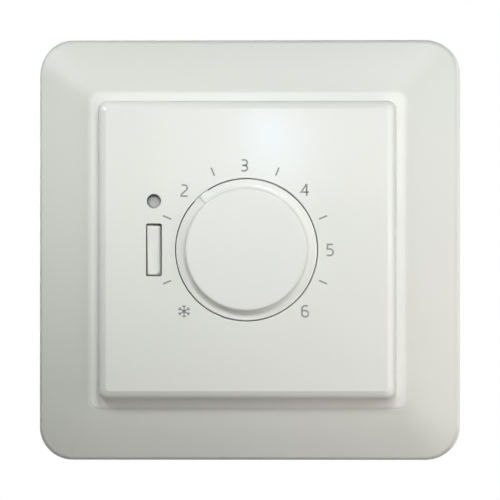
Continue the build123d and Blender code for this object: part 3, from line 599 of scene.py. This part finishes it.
# %% Coil spring
def coil(radius, wire, length, turns, along=220):
    """Closed tube along a helix about Y: the middle line turns at a fixed radius and rises evenly from nothing to the
    length, and an eight-cornered ring stands on it in the outward and the axial direction. Three quads close an end."""
    corners = 8
    run = np.linspace(0.0, 1.0, along)[:, None]
    turn = 2 * np.pi * turns * run
    roll = np.linspace(0.0, 2 * np.pi, corners, endpoint=False)[None, :]
    out = radius + wire * np.cos(roll)
    rise = wire + (length - 2 * wire) * run + wire * np.sin(roll)
    points = np.stack([out * np.cos(turn), rise, out * np.sin(turn)], axis=2).reshape(-1, 3)
    row = np.arange(along - 1)[:, None] * corners
    step = np.arange(corners)[None, :]
    follow = (step + 1) % corners
    tube = np.stack([row + step, row + follow, row + corners + follow, row + corners + step], axis=2).reshape(-1, 4)
    end = np.array([[0, 1, 2, 3], [0, 3, 4, 7], [4, 5, 6, 7]])
    return points, np.vstack([tube, end[:, ::-1], end + (along - 1) * corners])


sleeve_low, sleeve_high = (np.array(corner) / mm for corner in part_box("plunger_spring"))
print("spring sleeve in mm:", sleeve_low.round(3), sleeve_high.round(3))

# %% Spring in the rocker's stem
pivot = np.array(next(joint for joint in frame["joints"] if joint["name"] == "rocker_tilt")["pos_m"]) / mm
sleeve_radius, wire_radius, spring_turns = 0.7, 0.125, 6.0
sleeve_middle = (sleeve_low + sleeve_high) / 2
down = (sleeve_middle - pivot) / np.linalg.norm(sleeve_middle - pivot)
spring_length = (sleeve_high[1] - sleeve_low[1] - 2 * sleeve_radius * abs(down[2])) / down[1]
sideways = np.array([1.0, 0.0, 0.0])
stand = np.stack([sideways, down, np.cross(sideways, down)])
wound, wound_faces = coil(sleeve_radius - wire_radius, wire_radius, spring_length, spring_turns)
wound = sleeve_middle - down * spring_length / 2 + wound @ stand
spring = mesh_piece("switch_spring", [(wound, wound_faces)], steel, smooth=True)
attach(spring, "rocker")
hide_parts("plunger_spring")
print("spring length in mm:", round(float(spring_length), 2), "volume:", round(enclosed(wound, wound_faces), 4))

# %% [markdown]
# ## Studio
# The shading on the object tells where the light stood. The cover throws a crisp shadow on the ledge below it, so
# the main light is small, close and above. A second one to the upper left has a narrow beam, aimed at the frame's left
# side, so that little of it reaches the shadow. Two weaker ones close by on the right brighten that side and the right
# end of the shadow. A weak frontal one lifts the dial, and a tiny distant one is seen as the soft gleam above it. The
# photograph shows nothing of the back, so two more lights behind the wall plane are there for the other views only.

# %% Lamps
def lamp(name, place, aim, size, power, tint, spread=180.0):
    """Area light at a place, aimed at a point, in metres and watts. A spread under 180 degrees narrows its beam."""
    data = bpy.data.lights.new(name, "AREA")
    data.shape = "RECTANGLE"
    data.size, data.size_y = size
    data.energy = power
    data.color = tint
    data.spread = math.radians(spread)
    light = bpy.data.objects.new(name, data)
    light.location = place
    light.rotation_mode = "QUATERNION"
    light.rotation_quaternion = (Vector(aim) - Vector(place)).to_track_quat("-Z", "Y")
    light.visible_camera = False
    bpy.context.scene.collection.objects.link(light)


front, left_side, above_dial = (0.0, -0.0125, 0.0), (-0.035, -0.010, 0.015), (0.006, -0.0125, 0.024)
behind, rear_tint = (0.0, 0.012, 0.0), (1.0, 0.99, 0.97)
lamp("key_light", (0.0298, -0.2111, 0.1489), front, (0.07, 0.03), 0.2018, (0.95, 1.0, 0.98))
lamp("left_light", (-0.1150, -0.1290, 0.0960), left_side, (0.08, 0.03), 0.0122, (0.97, 0.99, 1.0), 50.0)
lamp("right_light", (0.0979, -0.0808, -0.0343), front, (0.08, 0.08), 0.0371, (1.0, 0.91, 0.85))
lamp("upper_right_light", (0.0969, -0.0900, 0.0388), front, (0.08, 0.08), 0.0454, (0.91, 0.95, 1.0))
lamp("front_light", (0.0121, -0.2547, 0.0606), front, (0.10, 0.10), 0.0418, (1.0, 0.90, 0.90))
lamp("gleam_light", (-0.0279, -0.511, 0.0295), above_dial, (0.012, 0.014), 0.0055, (0.55, 0.72, 1.0))
lamp("rear_light", (-0.28, 0.48, 0.12), behind, (0.25, 0.25), 0.22, rear_tint, 45.0)
lamp("rear_right_light", (0.40, 0.30, 0.06), behind, (0.2, 0.2), 0.06, rear_tint, 30.0)
print("lamps:", len(bpy.data.lights))

# %% [markdown]
# ## Room and floor
# The background is plain white. The world gives that white to the camera and to reflections only, and sends almost
# no light itself, so the lamps alone shade the object. The floor lies below the picture. Near the object it is a
# pale matt floor that takes the shadow, and with distance it turns into the white of the room for the camera, so no
# horizon cuts through the other views.

# %% Room
def seen_directly(tree):
    """One for rays that the camera, a reflection or glass sends, and nothing for light that a matt surface gathers."""
    kinds = ("Is Camera Ray", "Is Glossy Ray", "Is Transmission Ray")
    camera_ray, glossy_ray, glass_ray = (tree.node("ShaderNodeLightPath", output=kind) for kind in kinds)
    return (camera_ray + glossy_ray + glass_ray).share()


world = bpy.data.worlds.new("room")
bpy.context.scene.world = world
world.use_nodes = True
room = Tree(world.node_tree)
fill_strength = 0.01
fill = room.node("ShaderNodeBackground", {}, {"Color": (1.0, 0.97, 0.93, 1.0), "Strength": fill_strength})
white = room.node("ShaderNodeBackground", {}, {"Color": (1.0, 1.0, 1.0, 1.0), "Strength": 1.0})
both = room.node("ShaderNodeMixShader", {}, {0: seen_directly(room), 1: fill, 2: white})
room.feed(room.tree.nodes["World Output"].inputs["Surface"], both)
print("room fill strength:", fill_strength)

# %% Floor
def disc(radius, level, rings=24, spokes=64):
    """Flat ring grid about the vertical axis: distance from the axis and turn are the two parameters."""
    reach = np.linspace(0.002, 1.0, rings)[:, None] * radius
    sweep = np.linspace(0.0, 2 * np.pi, spokes, endpoint=False)[None, :]
    flat = np.full((rings, spokes), level)
    points = np.stack([reach * np.cos(sweep), reach * np.sin(sweep), flat], axis=2).reshape(-1, 3)
    row = np.arange(rings - 1)[:, None] * spokes
    step = np.arange(spokes)[None, :]
    follow = (step + 1) % spokes
    faces = np.stack([row + step, row + spokes + step, row + spokes + follow, row + follow], axis=2).reshape(-1, 4)
    return points, faces


floor_level, floor_radius, fade_start, fade_width = -150.0, 3000.0, 40.0, 200.0
pale = Finish("floor_pale")
haze = pale.noise(0.004, detail=3.0)
pale.surface(Base_Color=pale.between(haze, colour(240, 240, 238), colour(234, 234, 232)), Roughness=0.7)
distance = (pale.along("X") ** 2.0 + pale.along("Y") ** 2.0) ** 0.5
far = ((distance - fade_start) * (1 / fade_width)).share() * seen_directly(pale)
glow = pale.node("ShaderNodeEmission", {}, {"Color": (1.0, 1.0, 1.0, 1.0), "Strength": 1.0})
skin = Wire(pale.tree, pale.shader.outputs[0])
faded = pale.node("ShaderNodeMixShader", {}, {0: far, 1: skin, 2: glow})
pale.feed(pale.tree.nodes["Material Output"].inputs["Surface"], faded)
floor_piece = mesh_piece("floor", [disc(floor_radius, floor_level)], pale)

# %% Finish
bpy.context.scene.view_settings.view_transform = "Standard"
